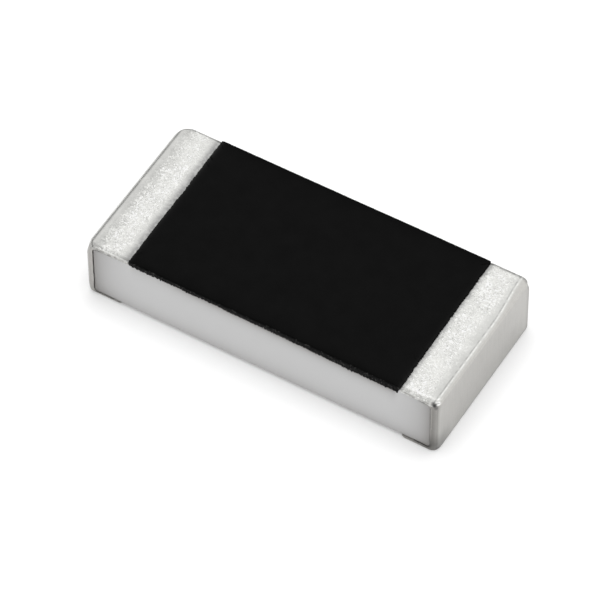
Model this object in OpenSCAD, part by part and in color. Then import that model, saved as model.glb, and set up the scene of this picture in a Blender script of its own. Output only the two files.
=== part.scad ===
// Thick-film chip resistor in the 3216 metric case (1206 in inch code).
// The length runs along X, the width along Y, and the solder faces lie on z = 0.
// A ceramic chip carries printed electrodes and a trimmed resistive film under two coats,
// and each end is wrapped in three nested layers of metal. Sizes are in millimetres.

/* [Chip] */
// Length over the plated ends
chip_length = 3.2; // [2.8:0.05:3.6]
// Width over the plated lips on the long sides
chip_width = 1.46; // [1.36:0.02:1.8]
// Height from the solder faces to the top of the overcoat
chip_height = 0.606; // [0.5:0.002:0.7]
// Bevel broken off the ceramic's four upright corners
corner_bevel = 0.06; // [0.04:0.005:0.08]
// Bevel broken off the ceramic's ends, along their top and bottom edges
end_bevel = 0.014; // [0.01:0.001:0.03]

/* [Printed electrodes] */
// Thickness of the electrodes printed on top of the ceramic
top_print = 0.018; // [0.010:0.001:0.020]
// Thickness of the electrodes printed under the ceramic
bottom_print = 0.018; // [0.010:0.001:0.020]
// Length of each top electrode that lies under the overcoat
covered_print = 0.16; // [0.15:0.01:0.24]
// Distance from the electrodes' sides to the ceramic's long edges
print_inset = 0.02; // [0.01:0.002:0.04]

/* [End metal] */
// Thickness of the silver paste baked over each end
paste = 0.004; // [0.003:0.001:0.006]
// Thickness of the nickel barrier
nickel = 0.003; // [0.002:0.001:0.006]
// Thickness of the tin
tin = 0.004; // [0.003:0.001:0.008]
// Reach of the tin on the top, from the chip's end to a centred overcoat
top_reach = 0.372; // [0.3:0.01:0.5]
// Reach of the tin on the underside, from the chip's end
bottom_reach = 0.315; // [0.25:0.01:0.5]
// Reach of the tin on the long sides, from the chip's end
side_reach = 0.066; // [0.060:0.002:0.1]
// Width of the tin's rim on the long sides, from the ceramic's top or bottom edge
side_rim = 0.006; // [0.005:0.001:0.03]
// Radius of the rim's inner corners on the long sides
rim_round = 0.04; // [0.02:0.005:0.08]

/* [Resistor] */
// Thickness of the resistive film
film = 0.008; // [0.005:0.001:0.012]
// Width of the resistive film
film_width = 1.12; // [0.9:0.02:1.2]
// Length of the film that lies on each top electrode
film_overlap = 0.09; // [0.05:0.01:0.1]
// Width of the laser's trimming cut
trim_kerf = 0.04; // [0.02:0.005:0.06]
// Place of the trimming cut along the chip, from its middle
trim_place = -0.28; // [-0.4:0.02:0]
// Depth of the trimming cut into the film
trim_depth = 0.5; // [0.2:0.02:0.7]
// Length of the trimming cut's second leg, along the film
trim_leg = 0.46; // [0.2:0.02:0.6]

/* [Coats] */
// Thickness of the glass coat over the film
glass = 0.008; // [0.005:0.001:0.012]
// Margin of the glass coat around the film
glass_margin = 0.03; // [0.01:0.005:0.035]
// Thickness of the black overcoat over the glass, between the electrodes
overcoat = 0.026; // [0.02:0.001:0.04]
// Shift of the printed overcoat towards the right end
overcoat_shift = 0.021; // [0:0.003:0.024]
// Distance from the overcoat's edge to the ceramic's long edge
overcoat_inset = 0.001; // [0.001:0.001:0.02]
// Radius of the overcoat's top edges
overcoat_round = 0.012; // [0.006:0.001:0.013]

/* [Hidden] */
$fn = 64;

// Ends of the chip, as turns about Z from the left one
left = 0;
right = 180;
// Layers of end metal, from the inside out
LAYERS = [paste, nickel, tin];
paste_layer = 0;
nickel_layer = 1;
tin_layer = 2;
// Share of the paste's thickness that stays over the ceramic's corners
corner_share = 0.6;
// Overlength of the cutting tools
overcut = 0.1;

// Thickness of the end metal from the ceramic out to the face of a layer
function build_up(layer) = layer < paste_layer ? 0 : LAYERS[layer] + build_up(layer - 1);
// Thickness of the metal that still goes over a layer
function cover(layer) = end_metal - build_up(layer);
// Reach of an end's tin on the top, up to the shifted overcoat
function flap(end) = top_reach + (end == left ? overcoat_shift : -overcoat_shift);
// Largest radius at which the paste keeps its share over a corner with a bevel or a step
function wrap_radius(bevel) =
    let (spare = paste * (1 - corner_share))
    paste + bevel + spare + sqrt(2 * spare * (bevel + spare));

end_metal = build_up(tin_layer);
coat_rise = film + glass + overcoat;

ceramic_length = chip_length - 2 * end_metal;
ceramic_width = chip_width - 2 * end_metal;
ceramic_bottom = bottom_print + end_metal;
ceramic_top = chip_height - coat_rise;
ceramic_height = ceramic_top - ceramic_bottom;

// Step from the ceramic up to its prints, which the end metal rounds off like a bevel
print_step = min(top_print, bottom_print);
print_width = ceramic_width - 2 * print_inset;

// Half lengths along X, from the chip's middle
print_outer = ceramic_length / 2 - corner_bevel;
overcoat_half = chip_length / 2 - top_reach;
top_print_inner = overcoat_half - covered_print;
bottom_print_inner = chip_length / 2 - bottom_reach + cover(paste_layer);
film_half = top_print_inner + film_overlap;
glass_half = film_half + glass_margin;
glass_width = film_width + 2 * glass_margin;

// The ceramic with its prints, which the end metal wraps
core_bottom = ceramic_bottom - bottom_print;
core_height = ceramic_height + bottom_print + top_print;

// Rectangle with four equal bevels
module bevelled_rect(length, width, bevel) {
    x = length / 2;
    y = width / 2;
    polygon([
        [x - bevel, -y], [x, bevel - y], [x, y - bevel], [x - bevel, y],
        [bevel - x, y], [-x, y - bevel], [-x, bevel - y], [bevel - x, -y]
    ]);
}

// Rectangle with four equal rounds
module rounded_rect(length, width, radius) {
    square([length - 2 * radius, width], center = true);
    square([length, width - 2 * radius], center = true);
    for (x = [-1, 1], y = [-1, 1])
        translate([x * (length / 2 - radius), y * (width / 2 - radius)])
            circle(radius);
}

// Rectangle that stands on y = 0, with its two upper corners rounded
module domed_rect(length, height, radius) {
    translate([-length / 2, 0])
        square([length, height - radius]);
    translate([radius - length / 2, 0])
        square([length - 2 * radius, height]);
    for (x = [-1, 1])
        translate([x * (length / 2 - radius), height - radius])
            circle(radius);
}

// A profile drawn in X and Z, carried along Y
module along_y(width) {
    rotate([90, 0, 0])
        linear_extrude(width, center = true)
            children();
}

// A profile drawn in Y and Z, carried along X
module along_x(length) {
    rotate([90, 0, 90])
        linear_extrude(length, center = true)
            children();
}

module ceramic_body() {
    intersection() {
        translate([0, 0, ceramic_bottom - overcut])
            linear_extrude(ceramic_height + 2 * overcut)
                bevelled_rect(ceramic_length, ceramic_width, corner_bevel);
        translate([0, 0, ceramic_bottom + ceramic_height / 2])
            along_y(ceramic_width + 2 * overcut)
                bevelled_rect(ceramic_length, ceramic_height, end_bevel);
    }
}

// A print on the ceramic, from the bevel at one end inwards
module print_body(end, inner, bottom, thickness) {
    rotate([0, 0, end])
        translate([-print_outer, -print_width / 2, bottom])
            cube([print_outer - inner, print_width, thickness]);
}

module top_print_body(end) {
    print_body(end, top_print_inner, ceramic_top, top_print);
}

module bottom_print_body(end) {
    print_body(end, bottom_print_inner, core_bottom, bottom_print);
}

// A coat on the ceramic that steps up over the inner ends of the top electrodes
module stepped_body(half, width, thickness) {
    step = top_print_inner - thickness;
    raised = top_print + thickness;
    translate([0, 0, ceramic_top])
        along_y(width)
            polygon([
                [-half, 0], [half, 0], [half, raised], [step, raised], [step, thickness],
                [-step, thickness], [-step, raised], [-half, raised]
            ]);
}

// The laser's L-shaped path, cut through the glass and the film from one long edge
module trim_cut() {
    turn_y = trim_depth - film_width / 2;
    start_y = -glass_width / 2 - overcut;
    translate([trim_place, 0, ceramic_top - overcut])
        linear_extrude(coat_rise + 2 * overcut) {
            translate([-trim_kerf / 2, start_y])
                square([trim_kerf, turn_y - start_y]);
            translate([0, turn_y - trim_kerf / 2])
                square([trim_leg, trim_kerf]);
            for (x = [0, trim_leg])
                translate([x, turn_y])
                    circle(trim_kerf / 2);
        }
}

module film_body() {
    stepped_body(film_half, film_width, film);
}

module glass_body() {
    stepped_body(glass_half, glass_width, film + glass);
}

// The outside of a metal layer, as if it closed over the whole chip
module layer_block(layer) {
    grown = build_up(layer);
    length = ceramic_length + 2 * grown;
    width = ceramic_width + 2 * grown;
    height = core_height + 2 * grown;
    over_paste = grown - paste;
    end_step = min(end_bevel + print_step, corner_bevel);
    side_step = min(print_inset, print_step);
    translate([0, 0, core_bottom + core_height / 2])
        intersection() {
            linear_extrude(height + overcut, center = true)
                rounded_rect(length, width, wrap_radius(corner_bevel) + over_paste);
            along_y(width + overcut)
                rounded_rect(length, height, wrap_radius(end_step) + over_paste);
            along_x(length + overcut)
                rounded_rect(width, height, wrap_radius(side_step) + over_paste);
        }
}

// What a metal layer of one end leaves bare: the window on the long sides, and the top and
// underside past the layer's reach
module bare_side(layer, end) {
    under = cover(layer);
    face = -chip_length / 2;
    window_height = ceramic_height - 2 * (side_rim - under);
    middle = ceramic_bottom + ceramic_height / 2;
    along_y(chip_width + 2 * overcut) {
        translate([face + side_reach - under + chip_length / 2, middle])
            rounded_rect(chip_length, window_height, rim_round + under);
        translate([face + flap(end), middle])
            square([chip_length, chip_height]);
        translate([face + bottom_reach - under, middle - chip_height])
            square([chip_length, chip_height]);
    }
}

// A metal layer of one end, before its turn to that end, filled down to the chip's middle
module layer_form(layer, end) {
    difference() {
        layer_block(layer);
        bare_side(layer, end);
    }
}

// A metal layer on one end, hollowed by what it wraps
module layer_shell(layer, end) {
    rotate([0, 0, end])
        difference() {
            layer_form(layer, end);
            if (layer > paste_layer)
                layer_form(layer - 1, end);
            ceramic_body();
            top_print_body(left);
            bottom_print_body(left);
        }
}

module ceramic_substrate() {
    color([0.86, 0.86, 0.84])
        ceramic_body();
}

module top_electrode(end) {
    color([0.80, 0.79, 0.75])
        top_print_body(end);
}

module bottom_electrode(end) {
    color([0.80, 0.79, 0.75])
        bottom_print_body(end);
}

module resistive_film() {
    color([0.20, 0.20, 0.21])
        difference() {
            film_body();
            top_print_body(left);
            top_print_body(right);
            trim_cut();
        }
}

module glass_coat() {
    color([0.36, 0.46, 0.42])
        difference() {
            glass_body();
            film_body();
            top_print_body(left);
            top_print_body(right);
            trim_cut();
        }
}

// The overcoat fills the trimming cut and lies on the ceramic around the glass
module black_overcoat() {
    coat_width = ceramic_width - 2 * overcoat_inset;
    color([0.08, 0.08, 0.09])
        difference() {
            translate([overcoat_shift, 0, ceramic_top])
                intersection() {
                    along_y(coat_width + overcut)
                        domed_rect(2 * overcoat_half, coat_rise, overcoat_round);
                    along_x(2 * overcoat_half + overcut)
                        domed_rect(coat_width, coat_rise, overcoat_round);
                }
            difference() {
                glass_body();
                trim_cut();
            }
            top_print_body(left);
            top_print_body(right);
        }
}

module end_electrode(end) {
    color([0.70, 0.69, 0.66])
        layer_shell(paste_layer, end);
}

module nickel_barrier(end) {
    color([0.66, 0.63, 0.57])
        layer_shell(nickel_layer, end);
}

module tin_plating(end) {
    color([0.84, 0.85, 0.86])
        layer_shell(tin_layer, end);
}

ceramic_substrate();
top_electrode(left);  // top_electrode_left
top_electrode(right);  // top_electrode_right
bottom_electrode(left);  // bottom_electrode_left
bottom_electrode(right);  // bottom_electrode_right
resistive_film();
glass_coat();
black_overcoat();
end_electrode(left);  // end_electrode_left
end_electrode(right);  // end_electrode_right
nickel_barrier(left);  // nickel_barrier_left
nickel_barrier(right);  // nickel_barrier_right
tin_plating(left);  // tin_plating_left
tin_plating(right);  // tin_plating_right
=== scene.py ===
"""Dresses a thick-film chip resistor: its ceramic, black coat, plated ends, inner layers and stage."""
import math
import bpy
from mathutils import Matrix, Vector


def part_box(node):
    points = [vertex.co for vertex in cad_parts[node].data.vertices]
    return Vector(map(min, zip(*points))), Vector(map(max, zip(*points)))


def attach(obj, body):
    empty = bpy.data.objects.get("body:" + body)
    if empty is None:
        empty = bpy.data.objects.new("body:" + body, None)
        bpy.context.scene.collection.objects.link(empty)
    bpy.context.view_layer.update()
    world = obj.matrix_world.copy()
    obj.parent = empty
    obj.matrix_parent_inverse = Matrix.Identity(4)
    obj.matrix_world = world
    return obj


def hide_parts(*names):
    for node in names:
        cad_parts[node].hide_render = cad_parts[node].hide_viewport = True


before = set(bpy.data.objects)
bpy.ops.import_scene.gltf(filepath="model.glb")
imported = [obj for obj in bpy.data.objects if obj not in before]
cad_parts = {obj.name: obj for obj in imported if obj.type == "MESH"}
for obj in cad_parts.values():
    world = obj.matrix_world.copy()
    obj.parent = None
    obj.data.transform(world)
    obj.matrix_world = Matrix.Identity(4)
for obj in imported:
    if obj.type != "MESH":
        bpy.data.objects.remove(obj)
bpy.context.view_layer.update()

from types import SimpleNamespace

import bpy
import numpy as np
from bpy.props import FloatProperty, FloatVectorProperty, PointerProperty
from mathutils import Matrix, Vector

bl_info = {
    "name": "Chip Resistor",
    "version": (1, 0, 0),
    "blender": (4, 5, 0),
    "location": "View3D > Sidebar > Chip",
    "description": "Makes the visible layers of a thick-film chip resistor and its studio stage",
    "category": "Add Mesh",
}

MILLIMETRE = 1e-3
MICRON = 1e-6
BODY = "root"
WHITE = (1.0, 1.0, 1.0)
ENDS = {"left": -1.0, "right": 1.0}
SEED = 1206

# Painted dark reflections at the right end's upper front corner: points in millimetres, each with its
# strength.
DARK_REFLECTIONS = (((1.553, -0.716, 0.586), 0.6), ((1.566, -0.720, 0.572), 1.0), ((1.580, -0.718, 0.545), 0.55))
# A painted highlight beside them, and painted shade at the lower front corner below them.
HIGHLIGHT_POINT = (1.588, -0.69, 0.585)
SHADED_LOW_CORNER = (1.6, -0.70, 0.03)

# Sizes of the plated ends in microns: label, description, the left end's value and the right end's.
END_SIZES = {
    "round": ("side edge", "Radius of the edges along the chip", 44, 21),
    "back": ("back corner", "Radius of the upright back corner at its top", 138, 75),
    "front": ("front corner", "Radius of the upright front corner at its top", 95, 75),
    "mid_back": ("back waist", "Radius of the back corner at half height", 118, 36),
    "mid_front": ("front waist", "Radius of the front corner at half height", 46, 45),
    "edge": ("end edge", "Radius of the end's top edge", 62, 36),
    "low": ("end low edge", "Radius of the end's bottom edge", 54, 34),
    "swell": ("swell", "Bulge of the plating at the back", 0, 5),
    # The band beside the coat is painted shade.
    "band_width": ("band width", "Width of the duller band beside the coat", 68, 56),
}
# Shares of the plated ends, in the same order.
END_SHARES = {
    "foot_back": ("back foot", "How much of the back corner's top radius its bottom takes", 1.0, 0.0),
    "foot_front": ("front foot", "How much of the front corner's top radius its bottom takes", 0.2, 1.0),
    # The band beside the coat is painted shade.
    "band": ("band", "Strength of the duller band beside the coat", 1.0, 0.85),
    # The darker tone on the long sides is painted shade.
    "lip": ("lip", "Strength of the darker tone on the long sides", 0.4, 1.0),
    # The bright rim is a painted highlight, with painted shade at its foot.
    "rim": ("rim", "Strength of the bright rim on the long sides", 0.35, 1.0),
    # The line sets the crease's painted dark line, the painted highlights beside it and along the front, and
    # the painted sheen beyond it.
    "line": ("line", "Strength of the crease along the end's top", 0.0, 1.0),
    "blank": ("blank", "Share of the flap at which the bright grains stop", 0.93, 1.08),
    "outer": ("outer", "How much duller the grains are near the end", 0.13, 0.0),
}

# Soft panels of the sky: what each is, azimuth and elevation in degrees, level, and the cosines of the
# angles from its middle between which it fades in.
PANELS = {
    "panel": ("Low side panel", 124.8, 18.9, 0.7, (0.90, 0.97)),
    "fill": ("Front panel", -10.0, 28.0, 1.1, (0.86, 0.97)),
    "back": ("Back panel", 211.0, 51.0, 0.12, (0.70, 0.95)),
}


def metres(name, about, default, low=0.0, high=0.01):
    """A length property, in metres."""
    return FloatProperty(name=name, description=about, default=default, min=low, max=high,
                         precision=7, subtype="DISTANCE", unit="LENGTH")


def microns(name, about, default):
    """A length property, given in microns."""
    return metres(name, about, default * MICRON)


def share(name, about, default, low=0.0, high=2.0):
    """A plain number property."""
    return FloatProperty(name=name, description=about, default=default, min=low, max=high, precision=4)


def degrees(name, about, default):
    """An angle property, given in degrees."""
    return FloatProperty(name=name, description=about, default=math.radians(default),
                         subtype="ANGLE", unit="ROTATION")


def colour(name, about, default):
    """A linear colour property."""
    return FloatVectorProperty(name=name, description=about, default=default, min=0.0, max=1.0,
                               size=3, subtype="COLOR")


class ChipShape(bpy.types.PropertyGroup):
    """Sizes of the edges and rims that the finished layers add to the solids."""
    ceramic_edge: microns("Ceramic edge", "Radius worn on the ceramic's long edges", 7)
    ceramic_chips: microns("Ceramic chips", "Depth of the fine chips along the ceramic's long edges", 2)
    ceramic_end: microns("Ceramic end bevel", "Bevel along the top and bottom of the ceramic's ends", 14)
    ceramic_taper: share("Ceramic taper", "Slope of the hidden bevels beside the ceramic's ends", 1.4)
    coat_round: microns("Coat edge", "Radius of the black coat's top edge", 12)
    coat_shoulder: microns("Coat shoulder", "Width of the slope inside the black coat's edge", 70)
    coat_sag: microns("Coat sag", "Height lost over the shoulder of the black coat", 2.5)
    coat_ragged: microns("Coat raggedness", "Wander of the black coat's printed outline", 3.2)
    coat_lap: microns("Coat lap", "Width of the coat's edge that runs over the ceramic's long edges", 2.5)
    coat_run: microns("Coat run", "Depth to which the coat runs down the ceramic's sides", 8)
    coat_hang: microns("Coat hang", "Further run of the coat at the right of the front side", 23)
    coat_turn: degrees("Coat turn", "Turn of the printed coat's ends about the vertical", 0.63)
    coat_grow: microns("Coat growth", "How far the coat's ends pass those of its solid", 4.3)
    coat_skew: microns("Coat skew", "Further lap of the coat at the right of the back side", 9)
    side_round: microns("Section corner", "Radius of the section that carries the plating's rims", 18)
    side_reach: microns("Side reach", "Reach of the plating on the long sides, from the end", 66)
    side_rim: microns("Side rim", "Width of the plating's rim from the ceramic's top or bottom edge", 6)
    rim_corner: microns("Rim corner", "Radius of the rim's inner corners on the long sides", 40)
    rim_round: microns("Rim edge", "Width over which the rim rounds down to the ceramic", 12)
    rim_ragged: microns("Rim raggedness", "Wander of the rims' lower and upper edges", 3)
    coat_dip: microns("Dip at the coat", "Fall of the plating's top beside the black coat", 5)
    coat_dip_width: microns("Dip width", "Width of the plating's fall beside the black coat", 60)
    # The crease on top of the right end is a painted dark line; the bright line along the front is a painted
    # highlight, and the strip along the front edge is painted shade.
    end_line: microns("End line", "Distance of the crease on top of the right end from its end", 48)
    end_veer: microns("End line veer", "How much farther in that crease lies at the back", 34)
    front_line: microns("Front line", "Distance of the bright line along the front from the side", 57)
    front_shade_width: microns("Front strip", "Width of the duller strip along the plating's front edge", 42)
    tin_ragged: microns("Tin raggedness", "Wander of the plating's edges", 3)
    layer_trim: microns("Layer trim", "How far the layers under the tin stop short of its edges", 20)
    layer_gap: microns("Layer gap", "Gap left between the layers under the tin", 0.6)


def end_properties():
    """A property for each end and each row of the two tables."""
    properties = {}
    for place, end in enumerate(ENDS):
        for table, make in ((END_SIZES, microns), (END_SHARES, share)):
            for key, (label, about, *values) in table.items():
                properties[end + "_" + key] = make(end.title() + " " + label, about, values[place])
    return properties


class ChipEnds(bpy.types.PropertyGroup):
    """Sizes and marks of the two plated ends."""
    __annotations__ = end_properties()


def end_values(scene, end):
    """The values of one end, named by their rows in the tables."""
    return SimpleNamespace(**{key: getattr(scene.chip_ends, end + "_" + key)
                              for key in (*END_SIZES, *END_SHARES)})


class ChipFinish(bpy.types.PropertyGroup):
    """Colours of the finished layers, and of the shade and highlights painted on them."""
    ceramic: colour("Ceramic", "Colour of the bare alumina", (0.81, 0.81, 0.81))
    # The ceramic shade colour is painted shade near the metal and the floor, and the stain below the coat.
    ceramic_shade: colour("Ceramic shade", "Colour of the alumina close to the metal", (0.35, 0.337, 0.327))
    coat: colour("Coat", "Colour of the black overcoat", (0.0029, 0.0029, 0.0029))
    coat_speck: colour("Coat specks", "Colour of the chipped specks on the coat's edge", (0.16, 0.16, 0.155))
    coat_edge: colour("Coat edge", "Colour of the coat towards its edge", (0.0006, 0.0006, 0.0006))
    tin: colour("Tin", "Colour of the matte tin on top", (0.755, 0.755, 0.731))
    # The end faces' darker tone is painted shade; their tin is also smoother, with less grain.
    tin_end: colour("Tin on the ends", "Colour of the smoother tin on the end faces", (0.52, 0.51, 0.488))
    # The lips' darker tone is painted shade.
    tin_lip_shade: colour("Tin on the lips", "Colour of the tin on the long sides", (0.28, 0.272, 0.258))
    # The tin beside the coat takes painted shade.
    tin_band_shade: colour("Tin beside the coat", "Colour of the tin beside the black coat", (0.41, 0.41, 0.405))
    # A painted dark reflection at the right end's upper front corner.
    tin_dark_reflection: colour("Worn spot", "Colour of the bruised corner of the tin", (0.05, 0.05, 0.05))
    # A painted highlight beside it.
    tin_highlight: colour("Bright corner", "Colour of the burnished corner of the tin", (0.97, 0.97, 0.95))
    silver: colour("Silver print", "Colour of the printed electrodes", (0.78, 0.77, 0.73))
    paste: colour("End paste", "Colour of the paste under the plating", (0.66, 0.65, 0.62))
    nickel: colour("Nickel", "Colour of the nickel barrier", (0.62, 0.58, 0.52))
    film: colour("Film", "Colour of the resistive film", (0.04, 0.04, 0.045))
    glass: colour("Glass coat", "Colour of the glass over the film", (0.30, 0.42, 0.37))


def panel_properties():
    """The turn, height and level of each soft panel."""
    properties = {}
    for key, (label, azimuth, elevation, level, _) in PANELS.items():
        properties[key + "_azimuth"] = degrees(label + " azimuth", "Panel's turn about the chip", azimuth)
        properties[key + "_elevation"] = degrees(label + " elevation", "Panel's height above the horizon",
                                                 elevation)
        properties[key + "_level"] = share(label + " level", "Brightness added to the sky", level, high=5.0)
    return properties


class ChipStage(bpy.types.PropertyGroup):
    """Camera, light and floor."""
    azimuth: degrees("Azimuth", "Camera's turn about the chip", 31.0353)
    elevation: degrees("Elevation", "Camera's height above the horizon", 51.1625)
    roll: degrees("Roll", "Camera's turn about its own axis", -0.2903)
    distance: metres("Distance", "Distance from the camera to the chip", 40 * MILLIMETRE, high=1.0)
    lens: FloatProperty(name="Lens", description="Focal length on a 36 mm sensor", default=304.56,
                        unit="CAMERA")
    aim_height: metres("Aim height", "Height of the chip's middle for the camera", 0.27 * MILLIMETRE)
    aim_right: metres("Aim right", "Aim point right of the chip's middle", -0.0559 * MILLIMETRE, low=-0.01)
    aim_up: metres("Aim up", "Aim point above the chip's middle", -0.1005 * MILLIMETRE, low=-0.01)
    floor_size: metres("Floor", "Side of the floor", 0.4, high=2.0)
    floor_albedo: share("Floor colour", "Grey of the floor that the light bounces off", 0.5)
    floor_white: share("Floor white", "Grey of the floor for the camera and in reflections", 0.70)
    floor_glow: share("Floor glow", "White added to the floor for the camera and in reflections", 0.24)
    key_size: metres("Key size", "Side of the key softbox", 0.09, high=1.0)
    key_distance: metres("Key distance", "Distance of the key softbox from the chip", 0.12, high=1.0)
    key_azimuth: degrees("Key azimuth", "Key softbox's turn about the chip", 172.0)
    key_elevation: degrees("Key elevation", "Key softbox's height above the horizon", 86.0)
    key_level: share("Key level", "Brightness of the key softbox's face", 3.2, high=20.0)
    sky_level: share("Sky level", "Brightness of the sky overhead", 0.82, high=5.0)
    horizon_level: share("Horizon level", "Brightness of the sky at the horizon", 0.18, high=5.0)
    horizon_top: share("Horizon top", "Height at which the sky starts to brighten", 0.30)
    sky_bottom: share("Sky bottom", "Height at which the sky has its full level", 0.60)
    sky_lean: share("Sky lean", "How much brighter the sky is on the key's side", 0.35)
    __annotations__.update(panel_properties())


class Layers:
    """Planes of the chip's layers, in metres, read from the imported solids."""
    ceramic_low, ceramic_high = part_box("ceramic_substrate")
    coat_low, coat_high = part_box("black_overcoat")
    print_low, print_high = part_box("top_electrode_right")
    left_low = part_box("tin_plating_left")[0]
    under_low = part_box("bottom_electrode_right")[0]
    tin_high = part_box("tin_plating_right")[1]
    nickel_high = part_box("nickel_barrier_right")[1]
    paste_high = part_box("end_electrode_right")[1]
    glass_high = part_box("glass_coat")[1]

    end_metal = tin_high.x - ceramic_high.x
    tin = tin_high.x - nickel_high.x
    over_nickel = tin_high.x - paste_high.x
    flaps = {"left": coat_low.x - left_low.x, "right": tin_high.x - coat_high.x}
    bottom_reach = tin_high.x - under_low.x + over_nickel


def smooth(low, high, value):
    """Smooth step: 0 below low, 1 above high, and 3t^2 - 2t^3 between them."""
    t = np.clip((value - low) / (high - low), 0.0, 1.0)
    return t * t * (3.0 - 2.0 * t)


def wander(turn, lowest, highest, fade, seed):
    """A closed random line of unit spread: sines of whole periods, their size falling as frequency^-fade."""
    rng = np.random.default_rng(seed)
    periods = np.arange(lowest, highest)
    phases = rng.uniform(0.0, 2.0 * np.pi, periods.size)
    sizes = rng.normal(size=periods.size) * periods ** -fade
    sizes /= np.sqrt(0.5 * (sizes ** 2).sum())
    waves = np.sin(2.0 * np.pi * np.asarray(turn)[..., None] * periods + phases)
    return waves @ sizes


class RoundedLoop:
    """Columns round a rectangle with rounded corners, from the start of its upper side clockwise.

    A column is a point of the core rectangle, in units of its half sizes, and an outward normal:
    along a side the core point moves and the normal stays, and round a corner the normal turns.
    """

    def __init__(self, upper, right, lower, left, corner_steps):
        turns = np.linspace(0.0, np.pi / 2, corner_steps)
        cores, normals = [], []
        sides = ((upper, (-1, 1), (1, 0), 90), (right, (1, 1), (0, -1), 0),
                 (lower, (1, -1), (-1, 0), -90), (left, (-1, -1), (0, 1), 180))
        for along, start, way, facing in sides:
            along = np.asarray(along)[:, None]
            face = math.radians(facing)
            cores.append(np.array(start) + 2.0 * along * np.array(way))
            normals.append(np.tile((math.cos(face), math.sin(face)), (len(along), 1)))
            corner = np.array(start) + 2.0 * np.array(way)
            cores.append(np.tile(corner, (corner_steps, 1)))
            normals.append(np.stack((np.cos(face - turns), np.sin(face - turns)), 1))
        self.core = np.concatenate(cores).astype(float)
        self.normal = np.concatenate(normals).astype(float)

    def at(self, half_a, half_b, radius, out=0.0):
        """The loop at given half sizes, moved outwards: core * (half - radius) + normal * (radius + out)."""
        reach = np.asarray(radius) + out
        a = self.core[:, 0] * (half_a - radius) + self.normal[:, 0] * reach
        b = self.core[:, 1] * (half_b - radius) + self.normal[:, 1] * reach
        return a, b

    def run(self, half_a, half_b, radius):
        """Distance along the loop at each column."""
        a, b = self.at(half_a, half_b, radius)
        steps = np.hypot(np.diff(a), np.diff(b))
        return np.concatenate(([0.0], np.cumsum(steps)))


def inside(count):
    """Even shares of a side, without its two ends."""
    return np.arange(1, count + 1) / (count + 1)


def crowded(count, pull):
    """Shares of a side that crowd towards both of its ends: t - pull * sin(2 pi t) / (2 pi)."""
    t = inside(count)
    return t - pull * np.sin(2.0 * np.pi * t) / (2.0 * np.pi)


def seam(shape, end, y):
    """How far the coat's end falls short of its solid at each y: the line along which tin and coat meet.

    It is a straight line across the chip, slightly turned, plus the wander of the print.
    """
    turn = np.clip(y / (2.2 * Layers.tin_high.y) + 0.5, 0.0, 1.0)
    seed = SEED + 40 + 4 * int(ENDS[end])
    line = 0.85 * wander(turn, 10, 240, 0.15, seed) + 0.55 * wander(turn, 1, 10, 0.6, seed + 1)
    ragged = shape.coat_ragged * np.clip(1.2 + line, 0.0, None)
    return ragged - shape.coat_grow + ENDS[end] * math.tan(shape.coat_turn) * y


def coat_drop(shape, x):
    """How far the coat runs down the front side at each x: more towards the right."""
    return shape.coat_run + shape.coat_hang * smooth(-0.6, 1.3, x / MILLIMETRE)


def closed_surface(name, rows, material, marks=None):
    """A closed mesh from a grid whose columns join up in a ring and whose first and last rows are poles.

    rows is an array of (row, column, xyz). marks are float attributes on the same grid.
    """
    if not np.isfinite(rows).all():
        raise RuntimeError(name + " has a point that is not a number")
    body = rows[1:-1]
    count, ring = body.shape[:2]
    points = np.concatenate((rows[:1, 0], body.reshape(-1, 3), rows[-1:, 0]))
    here = np.arange(ring)
    beside = (here + 1) % ring
    first = 1 + here
    last = 1 + (count - 1) * ring + here
    row = 1 + ring * np.arange(count - 1)[:, None]
    quads = np.stack((row + here, row + beside, row + ring + beside, row + ring + here), -1).reshape(-1, 4)
    top = np.stack((np.zeros(ring, int), first[beside], first), -1)
    bottom = np.stack((np.full(ring, len(points) - 1), last, last[beside]), -1)
    fan = np.concatenate((top, bottom))
    a, b, c = (points[np.concatenate((fan, quads[:, :3], quads[:, [0, 2, 3]]))[:, i]] for i in range(3))
    if np.einsum("ij,ij->i", a, np.cross(b, c)).sum() < 0.0:
        quads = quads[:, ::-1]
        fan = fan[:, ::-1]
    corners = np.concatenate((fan.ravel(), quads.ravel()))
    sizes = np.concatenate((np.full(len(fan), 3), np.full(len(quads), 4)))
    mesh = bpy.data.meshes.new(name)
    mesh.vertices.add(len(points))
    mesh.vertices.foreach_set("co", points.ravel())
    mesh.loops.add(len(corners))
    mesh.loops.foreach_set("vertex_index", corners)
    mesh.polygons.add(len(sizes))
    mesh.polygons.foreach_set("loop_start", np.cumsum(sizes) - sizes)
    mesh.polygons.foreach_set("use_smooth", np.ones(len(sizes), bool))
    mesh.update(calc_edges=True)
    for mark, grid in (marks or {}).items():
        values = np.concatenate((grid[:1, 0], grid[1:-1].ravel(), grid[-1:, 0]))
        mesh.attributes.new(mark, "FLOAT", "POINT").data.foreach_set("value", values.astype(np.float32))
    if mesh.validate():
        raise RuntimeError(name + " has a bad face")
    mesh.materials.append(material)
    piece = bpy.data.objects.new(name, mesh)
    bpy.context.scene.collection.objects.link(piece)
    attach(piece, BODY)
    return piece


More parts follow.
